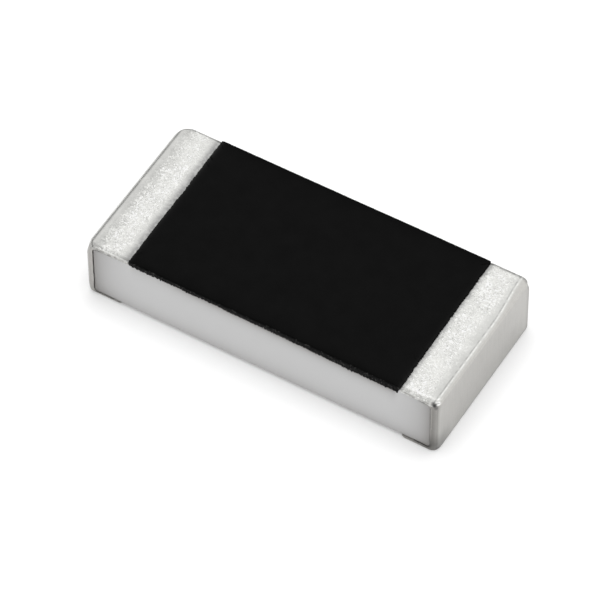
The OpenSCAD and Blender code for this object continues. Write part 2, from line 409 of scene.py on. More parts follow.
def ceramic_rows(shape):
    """The ceramic: a rounded rectangle carried along X, drawn in over the bevels at each end.

    Returns the grid, and on it the share of painted shade from the metal and the floor, and of the coat's
    stain, around each point.
    """
    low, high = Layers.ceramic_low, Layers.ceramic_high
    half_width, half_height = high.y, (high.z - low.z) / 2
    bevel = high.x - Layers.print_high.x
    loop = RoundedLoop(inside(14), crowded(46, 0.85), inside(14), crowded(46, 0.85), 7)
    fine = np.arange(1.09 * MILLIMETRE, high.x - bevel, 4 * MICRON)
    coarse = np.linspace(0.0, fine[0], 100)[:-1]
    half_run = np.concatenate((coarse, fine, np.linspace(fine[-1], high.x, 10)[1:]))
    run = np.concatenate((-half_run[:0:-1], half_run))
    turn = (run - run[0]) / (run[-1] - run[0])
    inset_y = shape.ceramic_taper * np.clip(np.abs(run) - (high.x - bevel), 0.0, None)[:, None]
    inset_z = np.clip(np.abs(run) - (high.x - shape.ceramic_end), 0.0, None)[:, None]
    corner = loop.normal.prod(1) ** 2 * 4.0
    upper, lower = (wander(turn, 40, 420, 0.6, SEED + i) for i in (1, 2))
    chips = np.where(loop.core[:, 1] > 0, upper[:, None], lower[:, None])
    radius = shape.ceramic_edge
    reach = radius - shape.ceramic_chips * np.abs(chips) * corner
    y = loop.core[:, 0] * (half_width - radius - inset_y) + loop.normal[:, 0] * reach
    z = loop.core[:, 1] * (half_height - radius - inset_z) + loop.normal[:, 1] * reach
    z = z + low.z + half_height
    x = np.broadcast_to(run[:, None], y.shape)
    rows = np.stack((x, y, z), -1)
    caps = np.broadcast_to(rows[[0, -1]].mean(1, keepdims=True), (2, rows.shape[1], 3))
    rows = np.concatenate((caps[:1], rows, caps[1:]))
    return rows, ceramic_shade(shape, rows, loop.normal[:, 0] ** 2)


def ceramic_shade(shape, rows, facing):
    """Shade painted on the ceramic's long sides, and a stain: a sum of falling exponentials of the distance
    to what makes them.

    The upright lips, the gap at any rim and the floor below cast the painted shade; the coat's foot above
    leaves a stain where the coat has run.
    """
    low, high = Layers.ceramic_low, Layers.ceramic_high
    x, z = rows[..., 0], rows[..., 2]
    from_end = Layers.tin_high.x - np.abs(x)
    flap = np.where(x < 0.0, Layers.flaps["left"], Layers.flaps["right"])
    lip = np.maximum(from_end - shape.side_reach, 0.0)
    upper = np.hypot(np.maximum(from_end - flap, 0.0), np.maximum(high.z - shape.side_rim - z, 0.0))
    lower = np.hypot(np.maximum(from_end - Layers.bottom_reach, 0.0),
                     np.maximum(z - low.z - shape.side_rim, 0.0))
    gap = np.minimum(lip, np.minimum(upper, lower))
    covered = smooth(0.0, 60 * MICRON, from_end - flap) * (0.45 + 0.45 * smooth(-1.0, -0.6, x / MILLIMETRE))
    foot = np.maximum(high.z - coat_drop(shape, x) - z, 0.0)
    close = 0.15 + 0.3 * (1.0 - smooth(0.04, 0.20, z / MILLIMETRE))
    # Painted shade beside the lips, at the rim gaps and near the floor; a stain below the coat's foot.
    terms = ((0.88, lip, 120), (close, gap, 8), (covered, foot, 48), (0.5, z - low.z, 68))
    shade = sum(size * np.exp(-distance / (reach * MICRON)) for size, distance, reach in terms)
    return np.clip(shade * facing, 0.0, 1.0)


def coat_rows(shape):
    """The black coat: a profile carried round its plan, from the middle of its top out over a sagging
    shoulder, round its edge and down over what it lies on, then in around the glass.

    Returns the grid, and on it the distances from the coat's long edges and its ends, in millimetres.
    """
    low, high = Layers.coat_low, Layers.coat_high
    centre, half_length = (high.x + low.x) / 2, (high.x - low.x) / 2
    half_width = Layers.ceramic_high.y + shape.coat_lap
    loop = RoundedLoop(inside(520), inside(290), inside(520), inside(290), 6)
    radius = shape.coat_round
    turn = loop.run(half_length, half_width, radius)
    turn = turn / (turn[-1] + 0.5 * radius)
    plan_x, plan_y = loop.at(half_length, half_width, radius)
    on_end = loop.normal[:, 0] ** 2
    on_front, on_back = (np.clip(side * loop.normal[:, 1], 0.0, None) ** 2 for side in (-1.0, 1.0))
    ends = np.where(plan_x > 0.0, seam(shape, "right", plan_y), seam(shape, "left", plan_y))
    rough = 0.8 * wander(turn, 60, 900, 0.35, SEED + 3) + 0.5 * wander(turn, 3, 60, 0.6, SEED + 4)
    ragged = -on_end * ends + (1.0 - on_end) * 0.3 * shape.coat_lap * np.clip(rough - 1.0, -2.5, 0.0)
    skew = shape.coat_skew * smooth(-1.1, 1.3, plan_x / MILLIMETRE)
    ragged = ragged + on_back * skew
    bent = radius * (1.0 - 0.45 * on_back)
    sag = shape.coat_sag * (1.0 - on_back)
    shoulder = (np.linspace(1.0, 0.0, 10) ** 1.5 * shape.coat_shoulder)[:, None]
    bend = np.linspace(0.0, np.pi / 2, 9)[1:, None]
    insets = np.concatenate((shoulder + bent, bent * (1.0 - np.sin(bend))))
    falls = np.concatenate((sag * (1.0 - shoulder / shape.coat_shoulder) ** 2,
                            sag + bent * (1.0 - np.cos(bend))))
    hold = 1.0 - smooth(0.4, 1.0, insets / insets[0])
    outline = [loop.at(half_length - i, half_width - i, radius, r) for i, r in zip(insets, hold * ragged)]
    top = [np.stack((a, b, high.z - f), -1) for (a, b), f in zip(outline, falls)]
    inner = [np.concatenate((top[0][:, :2] * s, top[0][:, 2:]), 1) for s in (0.0, 0.2, 0.4, 0.6, 0.8, 0.92)]
    torn = 0.9 * wander(turn, 150, 900, 0.1, SEED + 5) + 0.35 * wander(turn, 3, 60, 0.6, SEED + 4)
    hang = coat_drop(shape, plan_x + centre) + 1.9 * shape.coat_ragged * torn
    hang = on_back * 2 * MICRON + on_front * hang
    foot = np.concatenate((top[-1][:, :2], (low.z - hang)[:, None]), 1)
    foot[:, 2] = foot[:, 2] * (1.0 - on_end) + Layers.print_high.z * on_end
    skirt = np.stack((*loop.at(half_length - 12 * MICRON, Layers.ceramic_high.y + 0.4 * MICRON, radius),
                      foot[:, 2]), -1)
    lid = skirt.copy()
    ring = np.stack((*loop.at(Layers.glass_high.x + 3 * MICRON, Layers.glass_high.y + 3 * MICRON, radius),
                     foot[:, 2]), -1)
    ring[:, 0] -= centre
    for row in (lid, ring):
        on_print = np.abs(row[:, 0] + centre) > Layers.print_low.x - 0.3 * MICRON
        row[:, 2] = np.where(on_print, Layers.print_high.z, low.z) + 0.3 * MICRON
    roof = ring.copy()
    roof[:, 2] = Layers.glass_high.z + 0.3 * MICRON
    rows = np.stack(inner + top + [foot, skirt, lid, ring, roof, roof * (0.0, 0.0, 1.0)])
    fresh = np.where(rows[..., 0] > 0.0, 18 * MICRON, 0.0)
    marks = {"gap": half_width - np.abs(rows[..., 1]), "tail": half_length - np.abs(rows[..., 0]) + fresh}
    rows[..., 0] += centre
    return rows, {key: np.maximum(grid, 0.0) / MILLIMETRE for key, grid in marks.items()}


def tin_loop(shape):
    """Columns round the plated end, crowded at the edges of its side rims.

    Returns the loop, each column's distance along it from the middle of the long side, up being
    positive, and that distance at the edge of the rim.
    """
    half_height = Layers.tin_high.z / 2
    flat = half_height - shape.side_round
    rim = (Layers.ceramic_high.z - Layers.ceramic_low.z) / 2 - shape.side_rim
    centre = (Layers.ceramic_high.z + Layers.ceramic_low.z) / 2 - half_height
    hair = 0.4 * MICRON
    fade = np.linspace(1.0, 0.0, 16)[1:] ** 1.6
    arc = np.cos(np.linspace(0.05, np.pi / 2, 14))
    upper_strip = rim + hair + (flat - centre - rim - hair) * fade
    lower_strip = -rim - hair + (-flat - centre + rim + hair) * fade
    window = rim - hair - shape.rim_corner * (1.0 - arc)
    between = np.linspace(window[-1], -window[-1], 26)[1:-1]
    down = np.concatenate((upper_strip, window, between, -window[::-1], lower_strip[::-1]))
    shares = (flat - centre - down) / (2.0 * flat)
    loop = RoundedLoop(inside(310), shares, inside(150), 1.0 - shares[::-1], 9)
    height = loop.core[:, 1] * flat - centre
    bend = np.arccos(np.clip(np.abs(loop.normal[:, 0]), 0.0, 1.0)) * shape.side_round
    across = (1.0 - np.abs(loop.core[:, 0])) * (Layers.tin_high.y - shape.side_round)
    return loop, height + np.sign(height) * (bend + across), rim


def fall(gap, depth, width):
    """How far the plating has sunk near its edge: depth * (1 - sqrt(1 - (1 - gap / width)^2))."""
    near = 1.0 - np.clip(gap / width, 0.0, 1.0)
    return depth * (1.0 - np.sqrt(1.0 - near ** 2))


def drawn_in(into, radius):
    """How far a rounded edge draws in at a distance from the end, and how far it leans there.

    The first is radius - sqrt(radius^2 - (radius - into)^2), the second (radius - into) / radius.
    """
    lean = np.clip(1.0 - into / radius, 0.0, 1.0)
    return radius * (1.0 - np.sqrt(1.0 - lean ** 2)), lean


class PlatedBlock:
    """The rounded block of one plated end: a section whose width and height draw in towards the end face.

    The upright corners have one radius at half height and another at their top, of which their bottom
    takes a share.
    """

    def __init__(self, shape, own, loop):
        self.loop = loop
        self.section = shape.side_round
        self.round = own.round
        upper = loop.core[:, 1] > 0.0
        self.edge = np.where(upper, own.edge, own.low)
        height = smooth(0.70, 1.0, np.abs(loop.core[:, 1]))
        at_back, at_front = (height * np.where(upper, 1.0, foot) for foot in (own.foot_back, own.foot_front))
        self.back = own.mid_back + (own.back - own.mid_back) * at_back
        self.front = own.mid_front + (own.front - own.mid_front) * at_front

    def leans(self, into):
        """How far the surface leans towards the end at each point: 0 along the chip, 1 on the end face."""
        across, up = self.loop.normal.T
        back, front, edge = (drawn_in(into, radius)[1] for radius in (self.back, self.front, self.edge))
        return np.minimum(edge * up ** 2 + np.where(across > 0.0, back, front) * across ** 2, 1.0)

    def skin(self, into, depth):
        """Points at a distance from the end, sunk by a depth along the block's own normal.

        What lies beyond the arc of the edges along the chip is then pulled in to that arc.
        """
        half_width, half_height = Layers.tin_high.y, Layers.tin_high.z / 2
        back, front, edge = (drawn_in(into, radius)[0] for radius in (self.back, self.front, self.edge))
        lean = self.leans(into)
        sunk = depth * np.sqrt(1.0 - lean ** 2)
        core = half_width - self.section
        share_back = (self.loop.core[:, 0] + 1.0) / 2.0
        y = self.loop.core[:, 0] * core - share_back * back + (1.0 - share_back) * front
        z = self.loop.core[:, 1] * (half_height - self.section - edge)
        y = y + self.loop.normal[:, 0] * (self.section - sunk)
        z = z + self.loop.normal[:, 1] * (self.section - sunk)
        centre_y = half_width - np.where(y > 0.0, back, front) - self.round
        centre_z = half_height - edge - self.round
        out_y, out_z = np.abs(y) - centre_y, np.abs(z) - centre_z
        reach = np.maximum(np.hypot(out_y, out_z), 0.1 * MICRON)
        pull = np.clip((self.round - sunk) / reach, 0.0, 1.0)
        pull = np.where((out_y > 0.0) & (out_z > 0.0), 1.0 - pull, 0.0)
        y = y - np.sign(y) * out_y * pull
        z = z - np.sign(z) * out_z * pull
        return np.stack((into + depth * lean, y, z), -1)


def end_fan(ring):
    """Rows that shrink a ring of the end face to its middle."""
    scale = np.array([0.0, 0.35, 0.65, 0.85, 0.94, 0.98, 0.995])[:, None, None]
    middle = ring.mean(0) * (1.0, 0.0, 0.0)
    return middle + (ring - middle) * scale


def tin_rows(shape, own, end):
    """A plated end: a profile carried round the chip's section, from the middle of the end face over its
    rounded edge and along X to where the plating stops, then back inside.

    The surface lies below the rounded block by a depth that grows like a quarter circle near the
    plating's edge. Returns the grid and marks on it for the finish and for its painted light and shade.
    """
    high = Layers.tin_high
    seed = SEED + 20 + 4 * int(ENDS[end])
    loop, along, rim = tin_loop(shape)
    block = PlatedBlock(shape, own, loop)
    run = loop.run(high.y, high.z / 2, shape.side_round)
    turn = run / run[-1]
    ragged = 0.6 * wander(turn, 60, 900, 0.3, seed) + 0.8 * wander(turn, 4, 60, 0.5, seed + 1)
    ragged = shape.tin_ragged * ragged
    is_top = along > 0.0
    on_side = np.abs(along) < rim
    lying = np.abs(loop.normal[:, 1])
    plan_y = loop.at(high.y, high.z / 2, shape.side_round)[0]
    top_reach = Layers.flaps[end] + seam(shape, end, plan_y) - 0.4 * MICRON
    flap = np.where(is_top, top_reach, Layers.bottom_reach + 0.7 * ragged)
    below = np.clip(rim - np.abs(along), 0.0, shape.rim_corner)
    arc = np.sqrt(shape.rim_corner ** 2 - (shape.rim_corner - below) ** 2)
    window = shape.side_reach + 0.4 * ragged
    reach = np.where(on_side, window + shape.rim_corner - arc, flap)
    step = np.linspace(0.0, 1.0, 84)[:, None]
    into = reach * step ** 2 * (3.0 - 2.0 * step)
    over_x = window + shape.rim_corner - into
    over_z = np.abs(along) - (rim - shape.rim_corner)
    from_rim = (np.hypot(np.maximum(over_x, 0.0), np.maximum(over_z, 0.0))
                + np.minimum(np.maximum(over_x, over_z), 0.0) - shape.rim_corner)
    from_flap = flap - into
    top_depth = shape.coat_dip * lying + Layers.end_metal * (1.0 - lying)
    top_width = shape.coat_dip_width * lying + shape.rim_round * (1.0 - lying)
    under_depth = (Layers.ceramic_low.z - 1.0 * MICRON) * lying + Layers.end_metal * (1.0 - lying)
    flap_depth = np.where(is_top, top_depth, under_depth)
    flap_width = np.where(is_top, top_width, 3.0 * shape.rim_round)
    rim_depth = Layers.end_metal - 0.6 * MICRON
    depth = np.maximum(fall(from_rim, rim_depth, shape.rim_round), fall(from_flap, flap_depth, flap_width))
    gap = np.minimum(from_rim, from_flap)
    stop = np.maximum(np.where(on_side, rim_depth, flap_depth), Layers.tin)
    wall = stop + (Layers.tin - stop) * smooth(2 * MICRON, 6.5 * MICRON, gap)
    upright = np.sqrt(1.0 - block.leans(into) ** 2)
    swell = own.swell * np.clip(loop.normal[:, 0], 0.0, None) ** 2 * upright
    outer = block.skin(into, depth - swell * np.clip(1.0 - depth / rim_depth, 0.0, 1.0))
    inner = block.skin(into, np.maximum(wall, depth) + 0.6 * MICRON)
    strip = high.z / 2 - shape.side_round - rim
    weight = np.clip(1.0 - np.abs(np.abs(along) - rim) / strip, 0.0, 1.0) * (lying < 0.5)
    weight = weight * smooth(20 * MICRON, 60 * MICRON, into - shape.side_reach)
    shift = shape.rim_ragged * wander(into / MILLIMETRE, 6, 70, 0.5, seed + 2) * weight * np.sign(along)
    outer[..., 2] += shift
    inner[..., 2] += shift
    inner = inner[::-3]
    fan = end_fan(outer[0])
    rows = np.concatenate((fan, outer, inner, end_fan(inner[-1])[::-1]))
    ends = np.zeros(len(fan), int)
    order = np.concatenate((ends, np.arange(len(outer)), np.arange(len(outer))[::-3], ends))
    marks = tin_marks(shape, own, block, along, rim, into, flap, from_rim)
    rows[..., 0] = ENDS[end] * (high.x - rows[..., 0])
    rows[..., 2] += high.z / 2
    return rows, {key: grid[order] for key, grid in marks.items()}


def tin_marks(shape, own, block, along, rim, into, flap, from_rim):
    """Marks on a plated end for its finish and its painted light and shade: smooth steps and bell curves of
    the distances to its edges.
    """
    high, loop = Layers.tin_high, block.loop
    lying = np.abs(loop.normal[:, 1])
    on_top = lying * (along > 0.0)
    plan_y = loop.at(high.y, high.z / 2, shape.side_round)[0]
    lean = block.leans(into)
    upright = np.sqrt(1.0 - lean ** 2)
    part = into / flap
    across = (1.0 - np.abs(loop.core[:, 0])) * (high.y - shape.side_round)
    from_side = across + shape.side_round * (1.0 - np.abs(loop.normal[:, 0]))
    off_end = smooth(4 * MICRON, 30 * MICRON, into)
    at_back = (loop.normal[:, 0] > 0.9) * smooth(0.005, 0.10, 1.0 - lean) * 0.6
    top_back = (along > rim) * (plan_y > 0.0) * (1.0 - smooth(14 * MICRON, 36 * MICRON, from_side))
    in_front = (along > rim) * (plan_y < 0.0) * off_end
    lined = own.line * on_top
    line = shape.end_line + shape.end_veer * smooth(0.2, 0.7, plan_y / MILLIMETRE)
    over_line = lined * (1.0 - smooth(line - 38 * MICRON, line - 10 * MICRON, into))
    return {
        # Where the painted shade of the end faces and lips goes, also over the top beyond the crease.
        "side": np.maximum(1.0 - smooth(0.35, 0.85, upright * lying), over_line),
        # Painted shade along the back edges.
        "back": np.maximum(at_back, top_back * off_end),
        # A painted sheen on the top beyond the crease.
        "bevel": over_line * smooth(0.0, 0.6, upright),
        # The crease's painted dark line.
        "line": lined * np.exp(-((into - line) / (5 * MICRON)) ** 2),
        # A painted highlight beside the crease.
        "gloss": lined * np.exp(-((into - line + 13 * MICRON) / (6 * MICRON)) ** 2),
        # A painted highlight along the front.
        "front_highlight": own.line * in_front * np.exp(-((from_side - shape.front_line) / (12 * MICRON)) ** 2),
        # A strip of painted shade along the front edge.
        "strip": in_front * (1.0 - smooth(-5 * MICRON, 5 * MICRON, from_side - shape.front_shade_width)),
        # The lips' share of the painted shade.
        "lip": own.lip * upright ** 2 * (1.0 - lying) ** 2,
        # A painted shade line along the upright front corner.
        "corner_shade_line": np.exp(-((lean - 0.78) / 0.10) ** 2) * (loop.normal[:, 0] < -0.9),
        # A painted highlight on the rims, with painted shade at their feet.
        "rim": own.rim * (1.0 - smooth(0.0, 22 * MICRON, from_rim)) * (1.0 - lying),
        "outer": own.outer * on_top * smooth(0.14, 0.26, part) * (1.0 - smooth(0.34, 0.52, part)),
        # The band of painted shade beside the coat.
        "band": own.band * on_top * (1.0 - smooth(8 * MICRON, own.band_width, flap - into)),
        "mid": lying * smooth(0.16, 0.42, part) * (1.0 - smooth(-0.23, 0.0, part - own.blank)),
    }


def shell_rows(shape, own, end, outside, below):
    """A layer under the tin of one end: the shell between two depths under the rounded block.

    It runs from the middle of the end face along X, stops short of the tin's rims and comes back.
    """
    high = Layers.tin_high
    loop, along, rim = tin_loop(shape)
    block = PlatedBlock(shape, own, loop)
    plan_y = loop.at(high.y, high.z / 2, shape.side_round)[0]
    flap = np.where(along > 0.0, Layers.flaps[end] + seam(shape, end, plan_y), Layers.bottom_reach)
    reach = np.where(np.abs(along) < rim + shape.layer_trim, shape.side_reach, flap) - shape.layer_trim
    step = np.linspace(0.0, 1.0, 32)[:, None]
    into = reach * step ** 2 * (3.0 - 2.0 * step)
    outer = block.skin(into, outside)
    inner = block.skin(into, below)[::-1]
    rows = np.concatenate((end_fan(outer[0]), outer, inner, end_fan(inner[-1])[::-1]))
    rows[..., 0] = ENDS[end] * (high.x - rows[..., 0])
    rows[..., 2] += high.z / 2
    return rows


class Value:
    """One output of a shader node. Arithmetic on it adds Math nodes."""

    def __init__(self, paint, socket):
        self.paint = paint
        self.socket = socket

    def __add__(self, other):
        return self.paint.math("ADD", self, other)

    def __sub__(self, other):
        return self.paint.math("SUBTRACT", self, other)

    def __rsub__(self, other):
        return self.paint.math("SUBTRACT", other, self)

    def __mul__(self, other):
        return self.paint.math("MULTIPLY", self, other)

    def __rpow__(self, other):
        return self.paint.math("POWER", other, self)

    __radd__ = __add__
    __rmul__ = __mul__

    def ramp(self, low, high):
        """0 at low, 1 at high, smooth between them."""
        return self.paint.node("ShaderNodeMapRange", {"interpolation_type": "SMOOTHSTEP", "clamp": True},
                               {"Value": self, "From Min": low, "From Max": high})


class Paint:
    """One node tree, built by calls."""

    def __init__(self, tree):
        self.tree = tree
        tree.nodes.clear()

    def node(self, kind, settings=None, inputs=None, output=0):
        """Any node: its settings are set first, then its sockets are given values or links."""
        node = self.tree.nodes.new(kind)
        for key, value in (settings or {}).items():
            setattr(node, key, value)
        for key, value in (inputs or {}).items():
            if isinstance(value, Value):
                self.tree.links.new(value.socket, node.inputs[key])
            else:
                node.inputs[key].default_value = value
        return Value(self, node.outputs[output]) if node.outputs else None

    def math(self, operation, *values):
        """A Math node."""
        return self.node("ShaderNodeMath", {"operation": operation}, dict(enumerate(values)))

    def mix(self, share_of_b, a, b):
        """A colour between a and b."""
        a, b = (c if isinstance(c, Value) else (*c, 1.0) for c in (a, b))
        return self.node("ShaderNodeMix", {"data_type": "RGBA"}, {0: share_of_b, 6: a, 7: b}, 2)

    def scaled(self, tint, factor):
        """A colour times a number."""
        return self.node("ShaderNodeVectorMath", {"operation": "SCALE"}, {"Vector": tint, "Scale": factor})

    def place(self, stretch=(1.0, 1.0, 1.0)):
        """Object coordinates in millimetres, stretched."""
        where = self.node("ShaderNodeTexCoord", output="Object")
        return self.node("ShaderNodeMapping", {"vector_type": "POINT"},
                         {"Vector": where, "Scale": [s / MILLIMETRE for s in stretch]})

    def near(self, where, point, close, far):
        """1 within one distance of a point, 0 beyond another."""
        distance = self.node("ShaderNodeVectorMath", {"operation": "DISTANCE"}, {0: where, 1: point}, "Value")
        return 1.0 - distance.ramp(close, far)

    def along(self, vector, way):
        """The part of a vector along a fixed way."""
        return self.node("ShaderNodeVectorMath", {"operation": "DOT_PRODUCT"}, {0: vector, 1: way}, "Value")

    def noise(self, where, scale, detail=3.0, roughness=0.55):
        """Cloudy noise from 0 to 1."""
        return self.node("ShaderNodeTexNoise", {"noise_dimensions": "3D"},
                         {"Vector": where, "Scale": scale, "Detail": detail, "Roughness": roughness}, "Fac")

    def cells(self, where, scale):
        """A random grey for each grain, the grains being what lies nearest to scattered points."""
        return self.part(self.node("ShaderNodeTexVoronoi", {"feature": "F1"},
                                   {"Vector": where, "Scale": scale}, "Color"))

    def part(self, vector, axis=0):
        """One number of a colour or vector."""
        return self.node("ShaderNodeSeparateXYZ", inputs={"Vector": vector}, output=axis)

    def mark(self, name):
        """A float attribute of the piece."""
        return self.node("ShaderNodeAttribute", {"attribute_name": name}, output="Fac")

    def bump(self, height, depth):
        """A normal tilted by a height field whose unit is depth, in metres."""
        return self.node("ShaderNodeBump", inputs={"Height": height, "Distance": depth})

    def surface(self, **sockets):
        """The finished shader, with each socket named in lower case."""
        names = {key: key.replace("_", " ").title().replace("Ior", "IOR") for key in sockets}
        shader = self.node("ShaderNodeBsdfPrincipled", inputs={names[key]: sockets[key] for key in sockets})
        self.node("ShaderNodeOutputMaterial", inputs={"Surface": shader})


def new_material(name):
    """An empty material and the paint for it."""
    material = bpy.data.materials.new(name)
    material.use_nodes = True
    return material, Paint(material.node_tree)


def alumina_material(finish):
    """Matte white alumina with a fine sintered grain: painted shade close to the metal and the floor, and a
    stain below the coat.
    """
    material, paint = new_material("bare alumina")
    where = paint.place()
    cloud = paint.noise(where, 3.0)
    grain = paint.noise(where, 140.0, 2.0)
    shade = paint.mark("shade") + (cloud - 0.5) * 0.08 + (grain - 0.5) * 0.06
    tone = paint.mix(shade, finish.ceramic, finish.ceramic_shade)
    paint.surface(base_color=tone, roughness=0.52 + grain * 0.12, specular_ior_level=0.3,
                  normal=paint.bump(grain, 0.4 * MICRON))
    return material


def coat_material(finish):
    """Black resin with a fine filler texture: darker and chipped at its long edges, greyer at its ends."""
    material, paint = new_material("black resin coat")
    where = paint.place()
    gap = paint.mark("gap")
    filler = paint.noise(where, 90.0, 3.0, 0.6)
    flow = paint.noise(where, 7.0, 3.0)
    edge = math.e ** (gap * -25.0)
    tone = paint.mix(0.15 + edge * 0.8 + (flow - 0.5) * 0.9, finish.coat, finish.coat_edge)
    tail = math.e ** (paint.mark("tail") * -70.0)
    tone = paint.mix(tail * (0.04 + flow * 0.12), tone, finish.coat_speck)
    speck = paint.noise(where, 70.0, 2.0).ramp(0.60, 0.68) * (1.0 - gap.ramp(0.0, 0.006))
    tone = paint.mix(speck * 0.5, tone, finish.coat_speck)
    paint.surface(base_color=tone, roughness=0.5 + filler * 0.16, specular_ior_level=0.05,
                  normal=paint.bump(filler + flow * 2.0, 0.35 * MICRON))
    return material


def tin_material(finish):
    """Matte tin: bright crystal grains on top, smoother on the end faces, with painted shade beside the coat,
    on the end faces and on the lips, and painted highlights and dark reflections at its edges.
    """
    material, paint = new_material("matte tin")
    where = paint.place()
    x, y, z = (paint.part(where, axis) for axis in range(3))
    side, lip, outer, strip = (paint.mark(name) for name in ("side", "lip", "outer", "strip"))
    mid = paint.mark("mid") * (1.0 - side)
    low = 1.0 - z.ramp(0.022, 0.055)
    # Crystal grains, pits and curly creases, livelier in patches of the top.
    grains = paint.cells(where, 85.0)
    fine = paint.noise(where, 150.0, 3.0, 0.6)
    broad = paint.noise(where, 9.0, 2.0)
    busy = paint.noise(where, 6.0, 2.0).ramp(0.38, 0.60)
    curl = paint.noise(where, 26.0, 3.0, 0.6)
    crease = curl.ramp(0.50, 0.53) - curl.ramp(0.53, 0.57) - curl.ramp(0.44, 0.47) + curl.ramp(0.47, 0.50)
    sparkle = grains.ramp(0.50, 1.0)
    pits = paint.noise(where, 75.0, 2.0).ramp(0.60, 0.75)
    streak = paint.noise(paint.place((60.0, 60.0, 3.0)), 1.0, 2.0)
    broken = paint.noise(where, 28.0, 2.0).ramp(0.36, 0.58)
    # Painted shade beside the coat, on the end faces, which are also smoother, and on the lips.
    # A broken band of painted shade beside the coat.
    top = paint.mix(paint.mark("band") * (0.55 + broken * 0.5), finish.tin, finish.tin_band_shade)
    tone = paint.mix(side, top, paint.mix(lip, finish.tin_end, finish.tin_lip_shade))
    lively = mid * (0.45 + busy * 0.55) + 0.06 + outer * 1.6
    bright = 0.86 + mid * 0.18 + (broad - 0.5) * 0.36 * (1.0 - side) - outer
    bright = bright + lively * (sparkle * 0.44 - pits * 0.55 + (fine - 0.5) * 1.2 + crease * 0.16)
    bright = bright + side * (streak - 0.5) * (0.16 + lip * 0.3)
    # Painted light and shade: at the lips' feet and on their rims, a sheen on the top beyond the crease, a
    # dark line along the upright front corner and shade at the lower front corner.
    bright = bright * (1.0 + side * low * (lip * 0.7 - 0.3))
    bright = bright * (1.0 + paint.mark("rim") * side * (z.ramp(0.04, 0.20) * 0.95 - 0.3))
    bright = bright * (1.0 + paint.mark("bevel") * 0.3)
    bright = bright * (1.0 - paint.mark("corner_shade_line") * (0.05 + streak * 0.3))
    bright = bright * (1.0 - paint.near(where, SHADED_LOW_CORNER, 0.04, 0.24) * side * 0.42)
    # Painted shade along the back edges, low on the back of the right end and on the strip along the front;
    # the crease's painted dark line, and painted highlights beside it and along the front.
    bright = bright * (1.0 - paint.mark("back") * (0.2 + broken * 0.3))
    far = x.ramp(1.50, 1.58) * y.ramp(0.655, 0.71) * (1.0 - z.ramp(0.44, 0.54))
    bright = bright * (1.0 - far * side * 0.22)
    bright = bright * (1.0 - strip * (0.22 - broken * 0.14))
    bright = bright * (1.0 - paint.mark("line") * (0.06 + broken * 0.34))
    bright = bright + paint.mark("front_highlight") * (0.06 + broken * 0.18)
    bright = bright + paint.mark("gloss") * (0.12 + broken * 0.22)
    tone = paint.mix(strip * side * (0.3 + broken * 0.5), tone, finish.tin)
    tone = paint.scaled(tone, bright)
    # Painted dark reflections at the right end's upper front corner, and a painted highlight beside them.
    for point, size in DARK_REFLECTIONS:
        tone = paint.mix(paint.near(where, point, 0.006, 0.026) * size, tone, finish.tin_dark_reflection)
    tone = paint.mix(paint.near(where, HIGHLIGHT_POINT, 0.008, 0.028), tone, finish.tin_highlight)
    rough = 0.34 + (grains - 0.5) * mid * 0.16 + (broad - 0.5) * 0.10
    height = grains * (0.15 + mid * 0.7) + fine * (0.25 + mid * 0.5) + crease * mid * 0.2
    paint.surface(base_color=tone, metallic=1.0, roughness=rough, normal=paint.bump(height, 0.9 * MICRON))
    return material


def layer_material(name, tint, metallic, scale):
    """An inner layer: its colour clouded by printed or plated grain."""
    material, paint = new_material(name)
    grain = paint.noise(paint.place(), scale, 4.0)
    tone = paint.mix(grain, [0.8 * c for c in tint], tint)
    paint.surface(base_color=tone, metallic=metallic, roughness=0.4 + grain * 0.2,
                  normal=paint.bump(grain, 0.4 * MICRON))
    return material


class CHIP_OT_ceramic(bpy.types.Operator):
    """Make the bare ceramic chip with worn edges"""
    bl_idname = "chip.ceramic"
    bl_label = "Ceramic"

    def execute(self, context):
        rows, shade = ceramic_rows(context.scene.chip_shape)
        piece = closed_surface("ceramic_chip", rows,
                               alumina_material(context.scene.chip_finish), {"shade": shade})
        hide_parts("ceramic_substrate")
        return {"FINISHED"}


class CHIP_OT_coat(bpy.types.Operator):
    """Make the black coat with its ragged printed edge"""
    bl_idname = "chip.coat"
    bl_label = "Black Coat"

    def execute(self, context):
        rows, marks = coat_rows(context.scene.chip_shape)
        piece = closed_surface("black_coat", rows,
                               coat_material(context.scene.chip_finish), marks)
        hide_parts("black_overcoat")
        return {"FINISHED"}


class CHIP_OT_ends(bpy.types.Operator):
    """Make the tin on both ends, with its rounded rims"""
    bl_idname = "chip.ends"
    bl_label = "Plated Ends"

    def execute(self, context):
        material = tin_material(context.scene.chip_finish)
        for end in ENDS:
            rows, marks = tin_rows(context.scene.chip_shape, end_values(context.scene, end), end)
            piece = closed_surface("tin_end_" + end, rows, material, marks)
            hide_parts("tin_plating_" + end)
        return {"FINISHED"}


